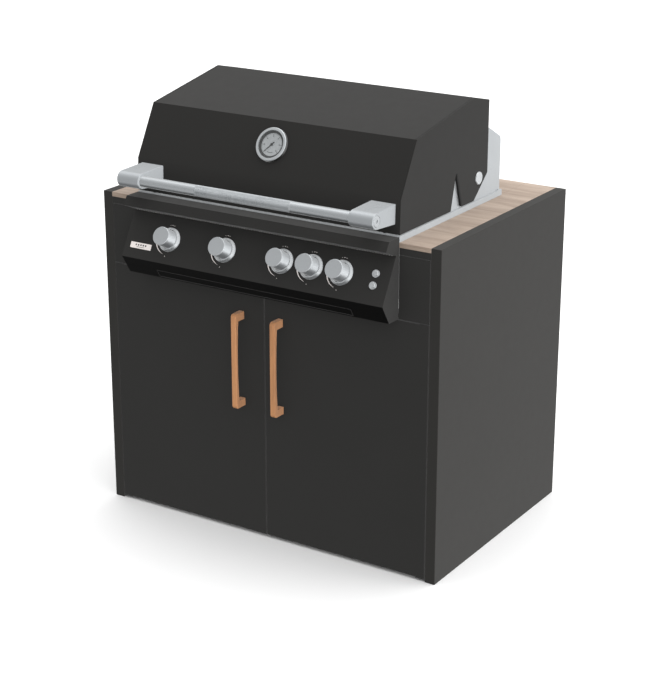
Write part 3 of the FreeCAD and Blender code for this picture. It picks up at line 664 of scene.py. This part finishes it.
def dial_details():
    """Dark ring round the dial, its ticks, dots and dashed arc, and the cap on the needle's pin."""
    ring = Shape()
    ring.lathe(DIAL.at(0, 0, 3.85), DIAL.out, DIAL_RING, 96)
    ring.piece("dial_ring", "hood", "black_plastic")

    marks = Shape()
    for i in range(TICKS + 1):
        angle = SCALE_START - SCALE_SWEEP * i / TICKS
        major = i % MAJOR_EVERY == 0
        start, half = MAJOR_TICK if major else MINOR_TICK
        cos, sin = polar(1, angle)
        tick = [(along * cos - across * sin, along * sin + across * cos)
                for along, across in rectangle(start, TICK_TIP, -half, half)]
        DIAL.plate(marks, tick, *INK)
        if major:
            DIAL.plate(marks, disc(polar(DOT_CIRCLE, angle), 1.4, 12), *INK)
    for i in range(DASHES):
        start = 246 + 6 * i
        dash = [polar(*corner) for corner in rectangle(*DASH_CIRCLES, start, start + 5)]
        DIAL.plate(marks, dash, *INK)
    DIAL.plate(marks, disc((0, 0), 2.4, 24), *PIN_CAP)
    marks.piece("dial_marks", "hood", "needle_paint")


dial_details()


# ---------------------------------------------------------------- hood trim

NOTCH_EDGE = [(297.8, 0.8), (303.4, 0.8), (274.9, 89.5), (269.4, 89.5)]
SEAL_RECESS = 0.2 * MM      # from an end's outer face
SEAL_THICK = 4.6 * MM
SEAM_FRONT = (74, 213.1)    # the seam follows the sloping top of the hood
SEAM_REAR = (346, 261.2)
SEAM_REACH = (-0.3 * MM, 1.7 * MM)      # sideways from the shell's end
SEAM_THICK = 0.15 * MM


def hood_trim():
    """Rubber along the rear edge of each notch, partly painted shade, and a dark strip on the fine
    joint between the shell and each end, as painted shade in its gap.

    Places on an end are in millimetres behind and above the end casting's lower front corner.
    """
    low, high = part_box("hood_ends")

    def spot(x, y, z):
        return Vector((x, low.y + y * MM, low.z + z * MM))

    seals = Shape()
    joints = Shape()
    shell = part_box("hood_shell")[1].x
    for side in (-1, 1):
        outside = side * (high.x - SEAL_RECESS)
        # The seal's black also stands in for the shade of the notch's unlit edge and gap: partly
        # painted shade.
        seals.plate([spot(outside, y, z) for y, z in NOTCH_EDGE], X * (-side * SEAL_THICK))
        # Thin dark strip on the joint, standing in for the shade in its gap: painted shade.
        near, far = (side * (shell + reach) for reach in SEAM_REACH)
        strip = [spot(near, *SEAM_FRONT), spot(far, *SEAM_FRONT),
                 spot(far, *SEAM_REAR), spot(near, *SEAM_REAR)]
        joints.plate(strip, Vector((0, 0, SEAM_THICK)))
    seals.piece("notch_seals_and_shade", "hood", "rubber")
    joints.piece("hood_seam_shade", "hood", "rubber")


hood_trim()


# ---------------------------------------------------------------- knurled grip

def knurled_grip():
    """Sleeve covered in small pyramids, with a plain collar at each end."""
    low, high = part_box("handle_grip")
    middle = (low + high) / 2
    length = (high.x - low.x) / MM
    bore, valley, crest = 12.65, 13.7, 14.2     # radii
    collar = 2.0
    chamfer = 0.5
    gap = 0.4                                   # from a collar to the first row
    steps = 76
    pitch = 2 * math.pi * crest / steps
    rows = int((length - 2 * collar) / pitch)
    start = -rows * pitch / 2
    points = []
    faces = []

    def circle(x, *radii):
        """Ring of points whose radii follow each other in turn. Gives its first point's number."""
        first = len(points)
        for j in range(steps):
            angle = 2 * math.pi * j / steps
            radius = radii[j % len(radii)] * MM
            points.append((middle.x + x * MM, middle.y + radius * math.cos(angle),
                           middle.z + radius * math.sin(angle)))
        return first

    def join(a, b):
        for j in range(steps):
            k = (j + 1) % steps
            faces.append([a + j, a + k, b + k, b + j])

    left = [circle(-length / 2, bore), circle(-length / 2, valley),
            circle(-length / 2 + chamfer, crest), circle(start - gap, crest)]
    grid = [circle(start + i * pitch, *((crest, valley) if i % 2 else (valley, crest)))
            for i in range(rows + 1)]
    right = [circle(-start + gap, crest), circle(length / 2 - chamfer, crest),
             circle(length / 2, valley), circle(length / 2, bore)]
    for a, b in zip(left, left[1:] + grid[:1]):
        join(a, b)
    for i in range(rows):
        a, b = grid[i], grid[i + 1]
        for j in range(steps):
            k = (j + 1) % steps
            if (i + j) % 2 == 0:
                faces.append([a + j, a + k, b + k])
                faces.append([a + j, b + k, b + j])
            else:
                faces.append([a + j, a + k, b + j])
                faces.append([a + k, b + k, b + j])
    for a, b in zip([grid[-1]] + right, right):
        join(a, b)
    join(right[-1], left[0])
    grip = piece("knurled_grip", points, faces, "hood", "grip_steel")
    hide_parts("handle_grip")


knurled_grip()


# ---------------------------------------------------------------- screws

def pan_screw(shape, point, out, radius, height):
    """Domed screw head with a round socket."""
    profile = [(0, 0), (radius, 0), (radius, height * 0.35), (radius * 0.8, height * 0.85),
               (radius * 0.5, height), (radius * 0.45, height * 0.35), (0, height * 0.35)]
    shape.lathe(point, out, profile, 24)


def spread_out(low, high, inset, count):
    """Evenly spaced places, with the first and last one an inset away from the ends."""
    return [low + inset + i * (high - low - 2 * inset) / (count - 1) for i in range(count)]


def back_screws():
    """Screws along the four edges of the cabinet's back."""
    low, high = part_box("cabinet_back")
    edge = 12 * MM
    across = 6              # equal parts of the width, with a screw at each division
    shape = Shape()
    for side in (-1, 1):
        for z in spread_out(low.z, high.z, 30 * MM, 6):
            pan_screw(shape, (side * (high.x - edge), high.y, z), (0, 1, 0), 3.2, 1.2)
    for z in (low.z + edge, high.z - edge):
        for i in range(1, across):
            x = low.x + (high.x - low.x) * i / across
            pan_screw(shape, (x, high.y, z), (0, 1, 0), 3.2, 1.2)
    shape.piece("back_screws", "cabinet", "frame_steel")


def housing_screws():
    """Row of screws along the foot of the rear housing."""
    low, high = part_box("rear_housing")
    shape = Shape()
    for x in spread_out(low.x, high.x, 30 * MM, 7):
        pan_screw(shape, (x, high.y, low.z + 12 * MM), (0, 1, 0), 2.4, 1.2)
    shape.piece("housing_screws", "cabinet", "bright_steel")


def handle_end_screws():
    """Screw in each end of the handle tube."""
    low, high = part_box("handle_tube")
    axis = (low + high) / 2
    sunk = 3 * MM
    shape = Shape()
    for side in (-1, 1):
        pan_screw(shape, (side * (high.x - sunk), axis.y, axis.z), (side, 0, 0), 3.6, 2.2)
    shape.piece("handle_end_screws", "hood", "bright_steel")


back_screws()
housing_screws()
handle_end_screws()


# ---------------------------------------------------------------- stage, light, camera

SKY_STRENGTH = 6.7
# Brightness against one coordinate of the direction, which runs from -1 to 1.
WALLS_BY_HEIGHT = ((-0.92, 0.0), (-0.80, 0.03), (-0.55, 0.36), (-0.15, 0.30), (0.3, 0.28),
                   (0.6, 0.20), (1.0, 0.15))
WALLS_BY_RIGHT = ((-0.3, 0.36), (0.25, 0.46), (0.8, 1.0))
CEILING_BY_HEIGHT = ((0.35, 0.0), (0.68, 0.15), (1.0, 0.40))
CEILING_BY_REAR = ((-0.5, 0.40), (0.4, 1.0))


def studio_world():
    """Soft room: walls brightest on the right and dark straight below, ceiling brightest behind."""
    world = bpy.data.worlds.new("studio")
    bpy.context.scene.world = world
    world.use_nodes = True
    tree = world.node_tree
    direction = tree.nodes.new("ShaderNodeTexCoord")
    split = tree.nodes.new("ShaderNodeSeparateXYZ")
    tree.links.new(direction.outputs["Generated"], split.inputs[0])

    def curve(source, stops):
        place = tree.nodes.new("ShaderNodeMapRange")
        tree.links.new(source, place.inputs[0])
        place.inputs[1].default_value = -1
        ramp = tree.nodes.new("ShaderNodeValToRGB")
        ramp.color_ramp.interpolation = "EASE"
        tree.links.new(place.outputs[0], ramp.inputs[0])
        points = ramp.color_ramp.elements
        while len(points) < len(stops):
            points.new(0.5)
        for point, (where, value) in zip(points, stops):
            point.position = (where + 1) / 2
            point.color = (value, value, value, 1)
        return ramp.outputs[0]

    def join(mode, a, b):
        node = tree.nodes.new("ShaderNodeMix")
        node.data_type = "RGBA"
        node.blend_type = mode
        node.inputs[0].default_value = 1.0
        tree.links.new(a, node.inputs[6])
        tree.links.new(b, node.inputs[7])
        return node.outputs[2]

    x, y, z = split.outputs
    walls = join("MULTIPLY", curve(z, WALLS_BY_HEIGHT), curve(x, WALLS_BY_RIGHT))
    ceiling = join("MULTIPLY", curve(z, CEILING_BY_HEIGHT), curve(y, CEILING_BY_REAR))
    sky = tree.nodes["Background"]
    tree.links.new(join("ADD", walls, ceiling), sky.inputs["Color"])
    sky.inputs["Strength"].default_value = SKY_STRENGTH


def studio():
    """Wide pale floor that neither lights the grill nor shows in its metal, and the soft room."""
    half = 30.0
    mesh = bpy.data.meshes.new("studio_floor")
    mesh.from_pydata([(x, y, 0) for x, y in rectangle(-half, half, -half, half)], [],
                     [(0, 1, 2, 3)])
    floor = bpy.data.objects.new("studio_floor", mesh)
    bpy.context.scene.collection.objects.link(floor)
    pale = Shader("studio_floor", rough=0.8, color=(0.93, 0.93, 0.93), Specular_IOR_Level=0.1)
    cloud = pale.noise(2.0, detail=2)
    pale.use("Roughness", pale.spread(cloud, 0.75, 0.85))
    floor.data.materials.append(pale.mat)
    floor.visible_diffuse = False
    floor.visible_glossy = False
    studio_world()

    bpy.context.scene.view_settings.view_transform = "Standard"
    bpy.context.scene.view_settings.look = "None"


EYE = (2.42396, -3.77378, 2.05540)
AZIMUTH = math.radians(32.375)
ELEVATION = math.radians(19.455)
ROLL = math.radians(0.102)
LENS = 96.39                # millimetres, on a sensor 36 mm wide


def camera():
    """Looks at the grill from its front right, a little above the hood."""
    back = Vector((math.sin(AZIMUTH) * math.cos(ELEVATION),
                   -math.cos(AZIMUTH) * math.cos(ELEVATION), math.sin(ELEVATION)))
    right = Vector((math.cos(AZIMUTH), math.sin(AZIMUTH), 0))
    up = back.cross(right)
    side = right * math.cos(ROLL) + up * math.sin(ROLL)
    top = up * math.cos(ROLL) - right * math.sin(ROLL)
    data = bpy.data.cameras.new("camera")
    data.lens = LENS
    data.sensor_width = 36
    eye = bpy.data.objects.new("camera", data)
    bpy.context.scene.collection.objects.link(eye)
    turn = Matrix((side, top, back)).transposed().to_4x4()
    eye.matrix_world = Matrix.Translation(EYE) @ turn
    bpy.context.scene.camera = eye


studio()
camera()
